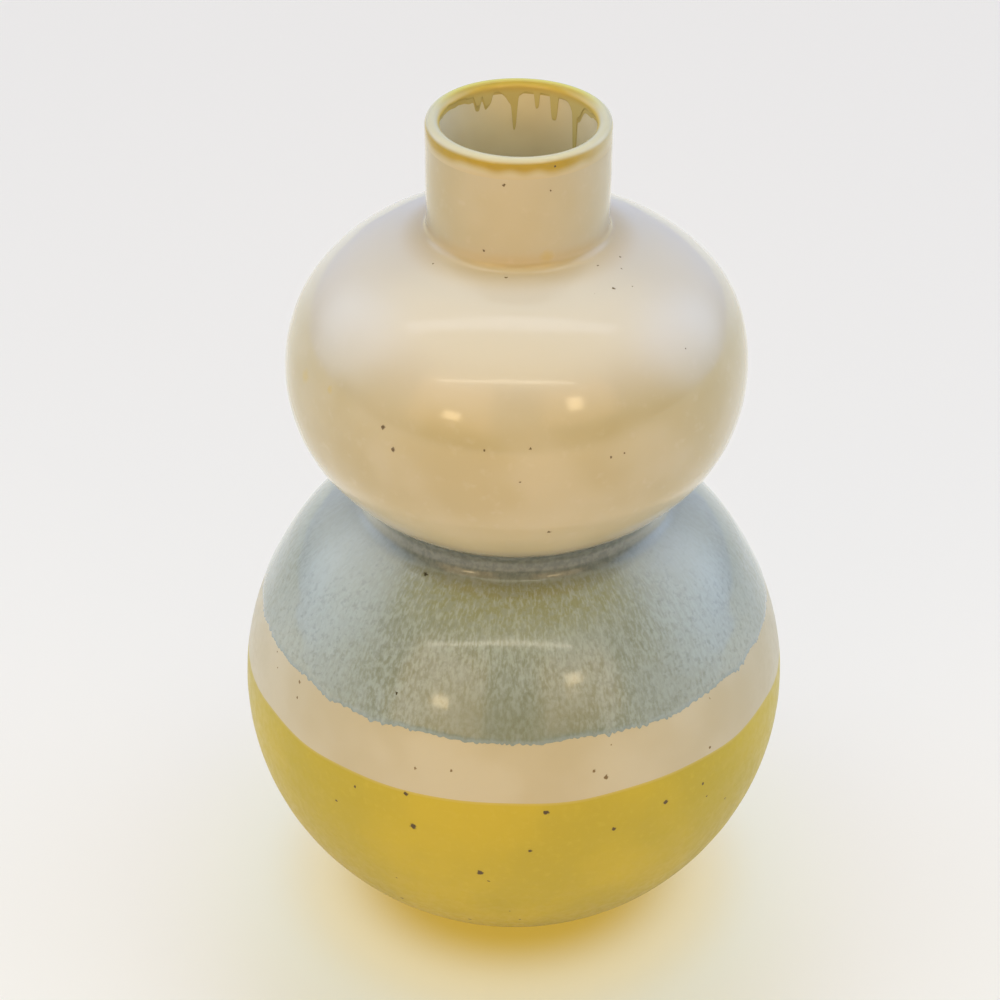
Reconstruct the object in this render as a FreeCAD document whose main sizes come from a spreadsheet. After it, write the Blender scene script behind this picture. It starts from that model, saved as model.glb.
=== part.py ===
import FreeCAD, Part
import math
import os
import Sketcher

# Double gourd vase in stoneware, about 200 mm tall and 130 mm across.
# It is thrown in sections (foot ring, lower bulb, upper bulb, neck collar) that are luted with slip
# on keyed seams, and it carries bands of glaze outside and a liner glaze inside.
# Everything is turned about the Z axis. The origin is on the axis at table level, +Z is up, in mm.

doc = FreeCAD.newDocument("double_gourd_vase")

# Driving sizes: name, value in mm (shares have no unit), meaning.
# Radii and heights of the outside are over the glaze.
SIZES = [
    ("foot_radius", 35.0, "outer radius of the foot ring"),
    ("foot_width", 4.5, "width of the foot ring"),
    ("foot_height", 2.5, "table to the underside of the lower bulb"),
    ("foot_chamfer", 0.6, "bevel on both edges of the foot ring"),
    ("foot_bare_band", 1.0, "unglazed clay above the underside"),
    ("lower_radius", 65.0, "widest radius of the lower bulb"),
    ("lower_drop", 62.4, "belly down to the end of the full lower oval"),
    ("lower_reach_share", 0.42, "where the base arc ends, as a share of the way from foot to belly"),
    ("wall", 4.0, "clay wall of both bulbs"),
    ("floor_thickness", 5.0, "clay floor of the lower bulb"),
    ("waist_radius", 36.0, "radius of the waist at its slimmest"),
    ("waist_fillet", 4.7, "radius of the hollow round the waist"),
    ("upper_radius", 52.2, "widest radius of the upper bulb"),
    ("upper_rise", 37.2, "belly up to the top of the full upper oval"),
    ("upper_reach_share", 0.35, "where the crown arc ends, as a share of the way from neck to belly"),
    ("neck_radius", 20.2, "outer radius of the neck"),
    ("neck_wall", 2.0, "clay wall of the neck"),
    ("neck_height", 26.4, "seam of the neck to the top of the lip"),
    ("neck_fillet", 2.0, "radius of the hollow where the neck meets the bulb"),
    ("slip", 0.6, "thickness of a slip seam"),
    ("coat", 0.5, "thickness of the outer glazes"),
    ("liner", 0.5, "thickness of the inner glaze"),
    ("cream_band_rise", 9.4, "belly of the lower bulb up to the foot of the cream band"),
    ("blue_rise", 23.2, "belly of the lower bulb up to the foot of the blue glaze"),
    ("amber_outer_drop", 4.5, "lip down to the end of the amber glaze outside"),
    ("amber_inner_drop", 11.0, "lip down to the end of the amber glaze inside"),
    ("key_width_share", 0.35, "width of a seam's V key as a share of the seam"),
    ("key_depth_share", 0.45, "depth of a seam's V key as a share of its width"),
]


def oval(bulb, end, half_height, inner_radius):
    """Rows for the two arcs of a bulb: a side arc through the belly and an end arc centred on the axis.

    The arcs touch at a given reach from the axis. With slope as the tangent of half the angle between
    the axis and the line through both centres, the arcs fit the bulb's radius and half height where
    reach * slope^2 - spread * slope + (half height - radius + reach) = 0.
    """
    radius = f"sizes.{bulb}_radius"
    reach, spread, slope = (f"{bulb}_{word}" for word in ("reach", "spread", "slope"))
    return [
        (reach, f"{inner_radius} + sizes.{bulb}_reach_share * ({radius} - {inner_radius})"),
        (spread, f"{radius} + {half_height}"),
        (
            slope,
            f"({spread} - sqrt({spread}^2 - 4 * {reach} * ({half_height} - {radius} + {reach})))"
            f" / (2 * {reach})",
        ),
        (f"{bulb}_{end}_arc", f"{reach} * (1 + {slope}^2) / (2 * {slope})"),
        (f"{bulb}_side_arc", f"({radius} - {reach}) * (1 + {slope}^2) / (1 - {slope})^2"),
        (f"{bulb}_side_centre", f"{radius} - {bulb}_side_arc"),
    ]


# Sizes that follow from them. Where two arcs touch, the point of touch is in line with their centres,
# so each centre's height follows from the one below it.
WORKED_OUT = [
    ("foot_inner_radius", "sizes.foot_radius - sizes.foot_width"),
    ("foot_top", "sizes.foot_height - sizes.slip"),
    ("floor_height", "sizes.foot_height + sizes.floor_thickness"),
    *oval("lower", "base", "sizes.lower_drop", "sizes.foot_radius"),
    (
        "lower_base_height",
        "sizes.foot_height + sqrt((lower_base_arc - sizes.coat)^2 - sizes.foot_radius^2)",
    ),
    ("lower_belly", "lower_base_height + sizes.lower_drop - lower_base_arc"),
    ("yellow_edge", "sizes.foot_height + sizes.foot_bare_band"),
    ("cream_band_edge", "lower_belly + sizes.cream_band_rise"),
    ("blue_edge", "lower_belly + sizes.blue_rise"),
    ("waist_centre", "sizes.waist_radius + sizes.waist_fillet"),
    (
        "waist_height",
        "lower_belly + sqrt((lower_side_arc + sizes.waist_fillet)^2"
        " - (waist_centre - lower_side_centre)^2)",
    ),
    *oval("upper", "crown", "sizes.upper_rise", "sizes.neck_radius"),
    (
        "upper_belly",
        "waist_height + sqrt((upper_side_arc + sizes.waist_fillet)^2"
        " - (waist_centre - upper_side_centre)^2)",
    ),
    ("upper_crown_height", "upper_belly + sizes.upper_rise - upper_crown_arc"),
    ("neck_fillet_centre", "sizes.neck_radius + sizes.neck_fillet"),
    (
        "neck_fillet_height",
        "upper_crown_height + sqrt((upper_crown_arc + sizes.neck_fillet)^2 - neck_fillet_centre^2)",
    ),
    (
        "neck_seam",
        "upper_crown_height + (upper_crown_arc - sizes.coat)"
        " * (neck_fillet_height - upper_crown_height) / (upper_crown_arc + sizes.neck_fillet)",
    ),
    ("neck_outer_radius", "sizes.neck_radius - sizes.coat"),
    ("neck_inner_radius", "neck_outer_radius - sizes.neck_wall"),
    ("mouth_radius", "neck_inner_radius - sizes.coat"),
    ("rim_height", "neck_seam + sizes.neck_height"),
    ("lip_centre", "neck_outer_radius - sizes.neck_wall / 2"),
    ("lip_arc", "sizes.neck_wall / 2 + sizes.coat"),
    ("lip_height", "rim_height - lip_arc"),
    ("amber_outer_edge", "rim_height - sizes.amber_outer_drop"),
    ("amber_inner_edge", "rim_height - sizes.amber_inner_drop"),
    ("waist_seam_low", "waist_height - sizes.slip / 2"),
    ("waist_seam_high", "waist_height + sizes.slip / 2"),
    ("waist_key_radius", "sizes.waist_radius - sizes.coat - sizes.wall / 2"),
    ("waist_key_width", "sizes.key_width_share * sizes.wall"),
    ("neck_seam_high", "neck_seam + sizes.slip"),
    ("neck_key_radius", "lip_centre + sizes.slip / 2"),
    ("neck_key_width", "sizes.key_width_share * sizes.neck_wall"),
]


def make_sheet(name, rows, formula):
    """A spreadsheet with one row for each named size."""
    sheet = doc.addObject("Spreadsheet::Sheet", name)
    for row, (alias, content, *meaning) in enumerate(rows, start=1):
        sheet.set(f"A{row}", alias)
        sheet.set(f"B{row}", f"={content}" if formula else str(content))
        sheet.setAlias(f"B{row}", alias)
        sheet.set(f"C{row}", " ".join(meaning))
    doc.recompute()
    return sheet


sizes = make_sheet("sizes", SIZES, formula=False)
derived = make_sheet("derived", WORKED_OUT, formula=True)


def number(expression):
    """The value that an expression on the two sheets has now."""
    return float(sizes.evalExpression(expression))


class Arc:
    """A round stretch of the silhouette, given by expressions for its centre and radius.

    bend is 1 where the wall bulges and -1 where it is hollow.
    """

    def __init__(self, centre_radius, centre_height, radius, bend=1):
        self.centre_radius = centre_radius
        self.centre_height = centre_height
        self.radius = radius
        self.bend = bend


lower_base = Arc(None, "derived.lower_base_height", "derived.lower_base_arc")
lower_side = Arc("derived.lower_side_centre", "derived.lower_belly", "derived.lower_side_arc")
waist = Arc("derived.waist_centre", "derived.waist_height", "sizes.waist_fillet", bend=-1)
upper_side = Arc("derived.upper_side_centre", "derived.upper_belly", "derived.upper_side_arc")
upper_crown = Arc(None, "derived.upper_crown_height", "derived.upper_crown_arc")
neck_foot = Arc("derived.neck_fillet_centre", "derived.neck_fillet_height", "sizes.neck_fillet", bend=-1)
lip = Arc("derived.lip_centre", "derived.lip_height", "derived.lip_arc")


class Level:
    """A flat edge of a section, at a height."""

    def __init__(self, height):
        self.height = height


class Wall:
    """An upright edge of a section. A smooth one is held by the arcs that it touches."""

    def __init__(self, radius, smooth=False):
        self.radius = radius
        self.smooth = smooth


class Bend:
    """A stretch of an arc, drawn a given depth under the glaze surface.

    With a height given, it goes on from there along the arc of the edge before it, so that the clay
    has an edge of its own under the edge of a coat.
    """

    def __init__(self, arc, depth=None, onward_from=None):
        self.arc = arc
        self.onward_from = onward_from
        sign = "-" if arc.bend > 0 else "+"
        self.radius_rule = f"{arc.radius} {sign} ({depth})" if depth else arc.radius
        self.radius = number(self.radius_rule)
        centre_radius = number(arc.centre_radius) if arc.centre_radius else 0
        self.centre = FreeCAD.Vector(centre_radius, number(arc.centre_height), 0)


def bends(depth, *arcs):
    """The same depth under several arcs in a row."""
    return [Bend(arc, depth) for arc in arcs]


def are_tangent(first, second):
    """Whether two neighbouring edges of a section run smoothly into each other."""
    both_round = isinstance(first, Bend) and isinstance(second, Bend) and not second.onward_from
    smooth_wall = any(isinstance(edge, Wall) and edge.smooth for edge in (first, second))
    return both_round or (smooth_wall and any(isinstance(edge, Bend) for edge in (first, second)))


def corner(first, second):
    """The point, radius then height, where two neighbouring edges of a section meet."""
    if isinstance(second, Bend) and not isinstance(first, Bend):
        return corner(second, first)
    if isinstance(second, Bend) and second.onward_from:
        return corner(first, Level(second.onward_from))
    if isinstance(first, Bend) and isinstance(second, Bend):
        reach = first.arc.bend * first.radius
        gap = reach - second.arc.bend * second.radius
        return first.centre + (second.centre - first.centre) * (reach / gap)
    if isinstance(first, Bend) and isinstance(second, Level):
        height = number(second.height)
        across = math.sqrt(first.radius**2 - (height - first.centre.y) ** 2)
        return FreeCAD.Vector(first.centre.x + first.arc.bend * across, height, 0)
    if isinstance(first, Bend):
        radius = number(second.radius)
        if second.smooth:
            return FreeCAD.Vector(radius, first.centre.y, 0)
        above_centre = math.sqrt(first.radius**2 - (radius - first.centre.x) ** 2)
        return FreeCAD.Vector(radius, first.centre.y + above_centre, 0)
    level, wall = (first, second) if isinstance(first, Level) else (second, first)
    radius = number(wall.radius) if wall.radius else 0
    return FreeCAD.Vector(radius, number(level.height), 0)


# Places that a sketch's constraints name: an edge's start, end and centre, the origin and the axis.
START, END, CENTRE = range(1, 4)
ORIGIN, UPRIGHT_AXIS = (-1, START), -2


def hold(sketch, kind, places, size):
    """Adds a constraint to a sketch and ties its value to an expression on the sheets."""
    index = sketch.addConstraint(Sketcher.Constraint(kind, *places, number(size)))
    sketch.setExpression(f"Constraints[{index}]", size)


def new_body(name):
    """An empty body, whose label names the piece and its file."""
    body = doc.addObject("PartDesign::Body", name)
    body.Label = name
    return body


def new_sketch(body, name):
    """A sketch on the body's own XZ plane, so that its upright axis is the axis of the vase."""
    sketch = body.newObject("Sketcher::SketchObject", name)
    plane = next(item for item in body.Origin.OriginFeatures if item.Role == "XZ_Plane")
    sketch.AttachmentSupport = [(plane, "")]
    sketch.MapMode = "FlatFace"
    return sketch


def draw_bend(sketch, bend, start, end, clockwise):
    """Draws an arc and returns its index and the names of its start and end, as they are walked."""
    first, last = (end, start) if clockwise else (start, end)
    angles = [math.atan2(point.y - bend.centre.y, point.x - bend.centre.x) for point in (first, last)]
    if angles[1] < angles[0]:
        angles[1] += 2 * math.pi
    circle = Part.Circle(bend.centre, FreeCAD.Vector(0, 0, 1), bend.radius)
    index = sketch.addGeometry(Part.ArcOfCircle(circle, *angles), False)
    if bend.arc.centre_radius:
        hold(sketch, "DistanceX", (*ORIGIN, index, CENTRE), bend.arc.centre_radius)
    else:
        sketch.addConstraint(Sketcher.Constraint("PointOnObject", index, CENTRE, UPRIGHT_AXIS))
    hold(sketch, "DistanceY", (*ORIGIN, index, CENTRE), bend.arc.centre_height)
    return (index, END, START) if clockwise else (index, START, END)


def draw_line(sketch, edge, start, end):
    """Draws a flat or upright edge and returns its index and the names of its start and end."""
    index = sketch.addGeometry(Part.LineSegment(start, end), False)
    if isinstance(edge, Level):
        sketch.addConstraint(Sketcher.Constraint("Horizontal", index))
        hold(sketch, "DistanceY", (*ORIGIN, index, START), edge.height)
        return (index, START, END)
    sketch.addConstraint(Sketcher.Constraint("Vertical", index))
    if edge.radius is None:
        sketch.addConstraint(Sketcher.Constraint("PointOnObject", index, START, UPRIGHT_AXIS))
    elif not edge.smooth:
        hold(sketch, "DistanceX", (*ORIGIN, index, START), edge.radius)
    return (index, START, END)


def turn(body, sketch, kind, name):
    """Turns a sketch about the axis of the vase, to add to the body or cut from it."""
    feature = body.newObject(f"PartDesign::{kind}", name)
    feature.Profile = sketch
    feature.ReferenceAxis = (sketch, ["V_Axis"])
    feature.Angle = 360
    sketch.Visibility = False
    return feature


def turned_piece(name, there, back):
    """A piece turned from a closed half section.

    The edges there are walked up the outer side of the section, and the edges back are walked down
    its inner side. Edges that run smoothly into each other are made tangent, and only the first arc
    of such a run is given a radius.
    """
    body = new_body(name)
    sketch = new_sketch(body, f"{name}_section")
    edges = there + back
    corners = [corner(edges[place - 1], edge) for place, edge in enumerate(edges)]
    corners.append(corners[0])
    drawn = []
    for place, edge in enumerate(edges):
        start, end = corners[place], corners[place + 1]
        if isinstance(edge, Bend):
            clockwise = (edge.arc.bend < 0) == (place < len(there))
            drawn.append(draw_bend(sketch, edge, start, end, clockwise))
        else:
            drawn.append(draw_line(sketch, edge, start, end))
    sized = False
    for place, edge in enumerate(edges):
        before, here = drawn[place - 1], drawn[place]
        tangent = are_tangent(edges[place - 1], edge)
        join = "Tangent" if tangent else "Coincident"
        sketch.addConstraint(Sketcher.Constraint(join, before[0], before[2], here[0], here[1]))
        if isinstance(edge, Bend) and edge.onward_from:
            hold(sketch, "DistanceY", (*ORIGIN, here[0], here[1]), edge.onward_from)
            continue
        sized = sized and tangent
        if isinstance(edge, Bend) and not sized:
            hold(sketch, "Radius", (here[0],), edge.radius_rule)
            sized = True
    turn(body, sketch, "Revolution", f"{name}_turned")
    return body


def key(body, name, kind, radius, height, width):
    """A V-shaped key round a seam: its flat top lies at the given height and its point is below."""
    sketch = new_sketch(body, f"{body.Name}_{name}_section")
    depth = f"sizes.key_depth_share * {width}"
    left = FreeCAD.Vector(number(f"{radius} - {width} / 2"), number(height), 0)
    right = FreeCAD.Vector(number(f"{radius} + {width} / 2"), number(height), 0)
    point = FreeCAD.Vector(number(radius), number(f"{height} - {depth}"), 0)
    sides = ((left, point), (point, right), (right, left))
    drawn = [sketch.addGeometry(Part.LineSegment(*ends), False) for ends in sides]
    for place, here in enumerate(drawn):
        sketch.addConstraint(Sketcher.Constraint("Coincident", drawn[place - 1], END, here, START))
    from_left, from_point, from_right = drawn
    hold(sketch, "DistanceX", (*ORIGIN, from_left, START), f"{radius} - {width} / 2")
    hold(sketch, "DistanceX", (*ORIGIN, from_right, START), f"{radius} + {width} / 2")
    hold(sketch, "DistanceX", (*ORIGIN, from_point, START), radius)
    hold(sketch, "DistanceY", (*ORIGIN, from_left, START), height)
    hold(sketch, "DistanceY", (*ORIGIN, from_right, START), height)
    hold(sketch, "DistanceY", (*ORIGIN, from_point, START), f"{height} - {depth}")
    turn(body, sketch, kind, f"{body.Name}_{name}")


def make_foot_ring():
    """Bare clay ring, bevelled inside and outside where it meets the table."""
    foot = turned_piece(
        "foot_ring",
        [Level("0"), Wall("sizes.foot_radius")],
        [Level("derived.foot_top"), Wall("derived.foot_inner_radius")],
    )
    doc.recompute()
    ring = foot.Tip
    on_table = [
        f"Edge{place}"
        for place, edge in enumerate(ring.Shape.Edges, start=1)
        if edge.BoundBox.ZMax < number("sizes.foot_chamfer") / 2
    ]
    bevel = foot.newObject("PartDesign::Chamfer", "foot_ring_bevel")
    bevel.Base = (ring, on_table)
    bevel.setExpression("Size", "sizes.foot_chamfer")
    return foot


def make_foot_slip_joint():
    """Flat seam of slip between the foot ring and the underside of the lower bulb."""
    return turned_piece(
        "foot_slip_joint",
        [Level("derived.foot_top"), Wall("sizes.foot_radius")],
        [Level("sizes.foot_height"), Wall("derived.foot_inner_radius")],
    )


# Depth of the inner face of the clay, and of the liner glaze on it, under the outer glaze.
CLAY_INSIDE = "sizes.coat + sizes.wall"
LINER_FACE = f"{CLAY_INSIDE} + sizes.liner"


def make_lower_bulb():
    """Large bulb with a flat floor. Its open top turns out into half of the hollow waist."""
    bulb = turned_piece(
        "lower_bulb",
        [
            Level("sizes.foot_height"),
            Bend(lower_base, "sizes.coat"),
            Bend(lower_base, "sizes.coat", onward_from="derived.yellow_edge"),
            Bend(lower_side, "sizes.coat"),
            Bend(lower_side, "sizes.coat", onward_from="derived.cream_band_edge"),
            Bend(lower_side, "sizes.coat", onward_from="derived.blue_edge"),
            Bend(waist, "sizes.coat"),
        ],
        [
            Level("derived.waist_seam_low"),
            *bends(CLAY_INSIDE, waist, lower_side, lower_base),
            Level("derived.floor_height"),
            Wall(None),
        ],
    )
    key(
        bulb, "key_groove", "Groove",
        "derived.waist_key_radius", "derived.waist_seam_low", "derived.waist_key_width",
    )
    return bulb


def make_waist_slip_joint():
    """Seam of slip that fills the keyed gap between the two bulbs."""
    seam = turned_piece(
        "waist_slip_joint",
        [Level("derived.waist_seam_low"), Bend(waist, "sizes.coat")],
        [Level("derived.waist_seam_high"), Bend(waist, CLAY_INSIDE)],
    )
    for name, kind, height in (
        ("ridge", "Revolution", "derived.waist_seam_low"),
        ("groove", "Groove", "derived.waist_seam_high"),
    ):
        key(seam, name, kind, "derived.waist_key_radius", height, "derived.waist_key_width")
    return seam


def make_upper_bulb():
    """Smaller bulb, open below at the waist and above at the neck."""
    bulb = turned_piece(
        "upper_bulb",
        [
            Level("derived.waist_seam_high"),
            *bends("sizes.coat", waist, upper_side, upper_crown),
        ],
        [
            Level("derived.neck_seam"),
            Wall("derived.neck_inner_radius"),
            *bends(CLAY_INSIDE, upper_crown, upper_side, waist),
        ],
    )
    key(
        bulb, "key_ridge", "Revolution",
        "derived.waist_key_radius", "derived.waist_seam_high", "derived.waist_key_width",
    )
    key(
        bulb, "key_groove", "Groove",
        "derived.neck_key_radius", "derived.neck_seam", "derived.neck_key_width",
    )
    return bulb


def make_neck_slip_joint():
    """Seam of slip that fills the keyed gap between the upper bulb and the neck."""
    seam = turned_piece(
        "neck_slip_joint",
        [Level("derived.neck_seam"), Bend(neck_foot, "sizes.coat")],
        [Level("derived.neck_seam_high"), Wall("derived.neck_inner_radius")],
    )
    for name, kind, height in (
        ("ridge", "Revolution", "derived.neck_seam"),
        ("groove", "Groove", "derived.neck_seam_high"),
    ):
        key(seam, name, kind, "derived.neck_key_radius", height, "derived.neck_key_width")
    return seam


def make_neck_collar():
    """Short cylinder with a fully rounded lip and a small hollow at its foot."""
    collar = turned_piece(
        "neck_collar",
        [
            Level("derived.neck_seam_high"),
            Bend(neck_foot, "sizes.coat"),
            Wall("derived.neck_outer_radius", smooth=True),
            Bend(lip, "sizes.coat"),
        ],
        [Wall("derived.neck_inner_radius", smooth=True)],
    )
    key(
        collar, "key_ridge", "Revolution",
        "derived.neck_key_radius", "derived.neck_seam_high", "derived.neck_key_width",
    )
    return collar


def make_yellow_glaze():
    """Yellow coat from just above the foot to a little over the belly."""
    return turned_piece(
        "yellow_glaze",
        [Level("derived.yellow_edge"), *bends(None, lower_base, lower_side)],
        [Level("derived.cream_band_edge"), *bends("sizes.coat", lower_side, lower_base)],
    )


def make_cream_band_glaze():
    """Cream band between the yellow and the blue coats."""
    return turned_piece(
        "cream_band_glaze",
        [Level("derived.cream_band_edge"), Bend(lower_side)],
        [Level("derived.blue_edge"), Bend(lower_side, "sizes.coat")],
    )


def make_blue_glaze():
    """Blue coat over the shoulder of the lower bulb, up to the middle of the waist."""
    return turned_piece(
        "blue_glaze",
        [Level("derived.blue_edge"), *bends(None, lower_side, waist)],
        [Level("derived.waist_height"), *bends("sizes.coat", waist, lower_side)],
    )


def make_cream_glaze():
    """Cream coat from the middle of the waist over the upper bulb and up the neck."""
    return turned_piece(
        "cream_glaze",
        [
            Level("derived.waist_height"),
            *bends(None, waist, upper_side, upper_crown, neck_foot),
            Wall("sizes.neck_radius", smooth=True),
        ],
        [
            Level("derived.amber_outer_edge"),
            Wall("derived.neck_outer_radius", smooth=True),
            *bends("sizes.coat", neck_foot, upper_crown, upper_side, waist),
        ],
    )


def make_amber_rim_glaze():
    """Amber coat folded over the lip, longer on the inside."""
    return turned_piece(
        "amber_rim_glaze",
        [
            Level("derived.amber_outer_edge"),
            Wall("sizes.neck_radius", smooth=True),
            Bend(lip),
            Wall("derived.mouth_radius", smooth=True),
        ],
        [
            Level("derived.amber_inner_edge"),
            Wall("derived.neck_inner_radius", smooth=True),
            Bend(lip, "sizes.coat"),
            Wall("derived.neck_outer_radius", smooth=True),
        ],
    )


def make_inner_glaze():
    """Liner coat over the floor, both bulbs, the waist between them and the bore of the neck."""
    return turned_piece(
        "inner_glaze",
        [
            Level("derived.floor_height"),
            *bends(CLAY_INSIDE, lower_base, lower_side, waist),
            Bend(waist, CLAY_INSIDE, onward_from="derived.waist_seam_low"),
            Bend(waist, CLAY_INSIDE, onward_from="derived.waist_seam_high"),
            *bends(CLAY_INSIDE, upper_side, upper_crown),
            Wall("derived.neck_inner_radius"),
        ],
        [
            Level("derived.amber_inner_edge"),
            Wall("derived.neck_inner_radius - sizes.liner"),
            *bends(LINER_FACE, upper_crown, upper_side, waist, lower_side, lower_base),
            Level("derived.floor_height + sizes.liner"),
            Wall(None),
        ],
    )


pieces = [
    make_foot_ring(),
    make_foot_slip_joint(),
    make_lower_bulb(),
    make_waist_slip_joint(),
    make_upper_bulb(),
    make_neck_slip_joint(),
    make_neck_collar(),
    make_yellow_glaze(),
    make_cream_band_glaze(),
    make_blue_glaze(),
    make_cream_glaze(),
    make_amber_rim_glaze(),
    make_inner_glaze(),
]
doc.recompute()

for item in doc.Objects:
    if "Invalid" in item.State or "Error" in item.State:
        raise RuntimeError(f"{item.Name} did not recompute: {item.State}")
for piece in pieces:
    if piece.Shape.isNull() or not piece.Shape.isValid():
        raise RuntimeError(f"{piece.Label} has no valid shape")

os.makedirs("parts", exist_ok=True)
for piece in pieces:
    piece.Shape.exportStep(f"parts/{piece.Label}.step")
    print(f"{piece.Label}: {piece.Shape.Volume:.0f} cubic mm, {len(piece.Shape.Solids)} solid")
print(f"height {number('derived.rim_height'):.2f} mm")
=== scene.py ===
import math

import bpy
import numpy as np
from mathutils import Matrix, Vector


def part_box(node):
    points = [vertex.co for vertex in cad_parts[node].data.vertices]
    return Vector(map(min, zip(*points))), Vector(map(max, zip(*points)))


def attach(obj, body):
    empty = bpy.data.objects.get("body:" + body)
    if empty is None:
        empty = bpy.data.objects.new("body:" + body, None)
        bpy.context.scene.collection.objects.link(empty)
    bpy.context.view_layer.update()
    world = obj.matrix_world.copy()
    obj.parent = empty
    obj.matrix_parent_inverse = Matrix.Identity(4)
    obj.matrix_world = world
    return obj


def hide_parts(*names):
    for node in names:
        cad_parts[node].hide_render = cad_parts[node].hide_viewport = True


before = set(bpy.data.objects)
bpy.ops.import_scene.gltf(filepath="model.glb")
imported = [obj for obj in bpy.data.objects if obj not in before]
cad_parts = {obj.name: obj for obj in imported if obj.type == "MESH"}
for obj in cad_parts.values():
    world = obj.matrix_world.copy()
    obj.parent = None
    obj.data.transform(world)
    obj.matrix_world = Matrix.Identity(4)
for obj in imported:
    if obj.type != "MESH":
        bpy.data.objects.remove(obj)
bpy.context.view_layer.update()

# Foot ring and thrown clay bodies.
# Iron-bearing stoneware, thrown and trimmed on the wheel. It is left bare only on the foot, and the
# glaze covers the rest.

MM = 0.001
SMOOTH = {"interpolation_type": "SMOOTHSTEP"}
COLOUR = {"data_type": "RGBA", "out": 2}


def linear(hex_colour):
    """An sRGB hex colour as linear RGBA: below 0.04045 divided by 12.92, else ((c + 0.055) / 1.055) ^ 2.4."""
    values = np.array([int(hex_colour[i:i + 2], 16) for i in (1, 3, 5)]) / 255
    straight = values / 12.92
    curved = ((values + 0.055) / 1.055) ** 2.4
    return (*np.where(values <= 0.04045, straight, curved).tolist(), 1.0)


def add(tree, kind, inputs=None, out=0, **settings):
    """Adds a node with its settings and links, and gives back one of its outputs.

    A key of inputs is a socket's name or number. Its value is a number, a hex colour or another socket.
    """
    made = tree.nodes.new("ShaderNode" + kind)
    for name, value in settings.items():
        setattr(made, name, value)
    for socket, value in (inputs or {}).items():
        if isinstance(value, bpy.types.NodeSocket):
            tree.links.new(value, made.inputs[socket])
        else:
            made.inputs[socket].default_value = linear(value) if isinstance(value, str) else value
    return made.outputs[out] if made.outputs else None


def new_material(name):
    """An empty material, its tree, and the place on the piece in metres."""
    made = bpy.data.materials.new(name)
    made.use_nodes = True
    tree = made.node_tree
    tree.nodes.clear()
    return made, tree, add(tree, "TexCoord", out="Object")


# Unglazed stoneware, trimmed with a metal tool and fired: matt, gritty, with brown iron grains. A noise's
# scale is one over the size of its patches, here 0.8 mm for the grit, 1.6 mm for the grains and 9 mm for
# the clouds.
stoneware, tree, place = new_material("stoneware_trimmed")
grit = add(tree, "TexNoise", {"Vector": place, "Scale": 1 / (0.8 * MM), "Detail": 4.0})
grains = add(tree, "TexVoronoi", {"Vector": place, "Scale": 1 / (1.6 * MM)})
clouds = add(tree, "TexNoise", {"Vector": place, "Scale": 1 / (9 * MM)})
base = add(tree, "Mix", {0: clouds, 6: "#B79F80", 7: "#A88E6F"}, **COLOUR)
iron = add(tree, "MapRange", {0: grains, 1: 0.12, 2: 0.2, 3: 1.0, 4: 0.0}, **SMOOTH)
base = add(tree, "Mix", {0: iron, 6: base, 7: "#6B4C33"}, **COLOUR)
matt = add(tree, "MapRange", {0: grit, 1: 0.3, 2: 0.7, 3: 0.75, 4: 0.92}, **SMOOTH)
relief = add(tree, "Bump", {"Height": grit, "Distance": 0.12 * MM, "Strength": 1.0})
shader = add(tree, "BsdfPrincipled", {"Base Color": base, "Roughness": matt, "Normal": relief})
add(tree, "OutputMaterial", {"Surface": shader})

# Slip, which is thin clay brushed on to lute the sections: finer and paler than the body.
slip, tree, place = new_material("slip_luted_seam")
grit = add(tree, "TexNoise", {"Vector": place, "Scale": 1 / (0.5 * MM), "Detail": 3.0})
clouds = add(tree, "TexNoise", {"Vector": place, "Scale": 1 / (4 * MM)})
base = add(tree, "Mix", {0: clouds, 6: "#BBA78B", 7: "#AD977A"}, **COLOUR)
matt = add(tree, "MapRange", {0: grit, 1: 0.3, 2: 0.7, 3: 0.7, 4: 0.88}, **SMOOTH)
relief = add(tree, "Bump", {"Height": grit, "Distance": 0.05 * MM, "Strength": 1.0})
shader = add(tree, "BsdfPrincipled", {"Base Color": base, "Roughness": matt, "Normal": relief})
add(tree, "OutputMaterial", {"Surface": shader})

for name in ("foot_ring", "lower_bulb", "upper_bulb", "neck_collar"):
    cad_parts[name].data.materials.clear()
    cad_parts[name].data.materials.append(stoneware)
for name in ("foot_slip_joint", "waist_slip_joint", "neck_slip_joint"):
    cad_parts[name].data.materials.clear()
    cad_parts[name].data.materials.append(slip)

# Yellow glaze on the lower bulb.
# A satin coat that was poured over the base up to just above the belly. Iron grains from the clay
# burn through it as dark specks.

COAT = 0.5
LOWER_RADIUS, LOWER_HALF, LOWER_REACH = 65.0, 62.4, 47.6
UPPER_RADIUS, UPPER_HALF, UPPER_REACH = 52.2, 37.2, 31.4
WAIST_RADIUS, WAIST_HOLLOW = 36.0, 4.7
NECK_RADIUS, NECK_HOLLOW, NECK_WALL = 20.2, 2.0, 3.0
STEP = 0.25
LIP_STEPS, NECK_STEPS, MOUTH_STEPS, MOUTH_DEPTH = 24, 90, 60, 14
YELLOW_FOOT, YELLOW_TOP = (corner.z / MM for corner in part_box("yellow_glaze"))
BAND_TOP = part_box("cream_band_glaze")[1].z / MM
WAIST_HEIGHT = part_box("blue_glaze")[1].z / MM
RIM_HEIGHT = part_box("amber_rim_glaze")[1].z / MM


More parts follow.
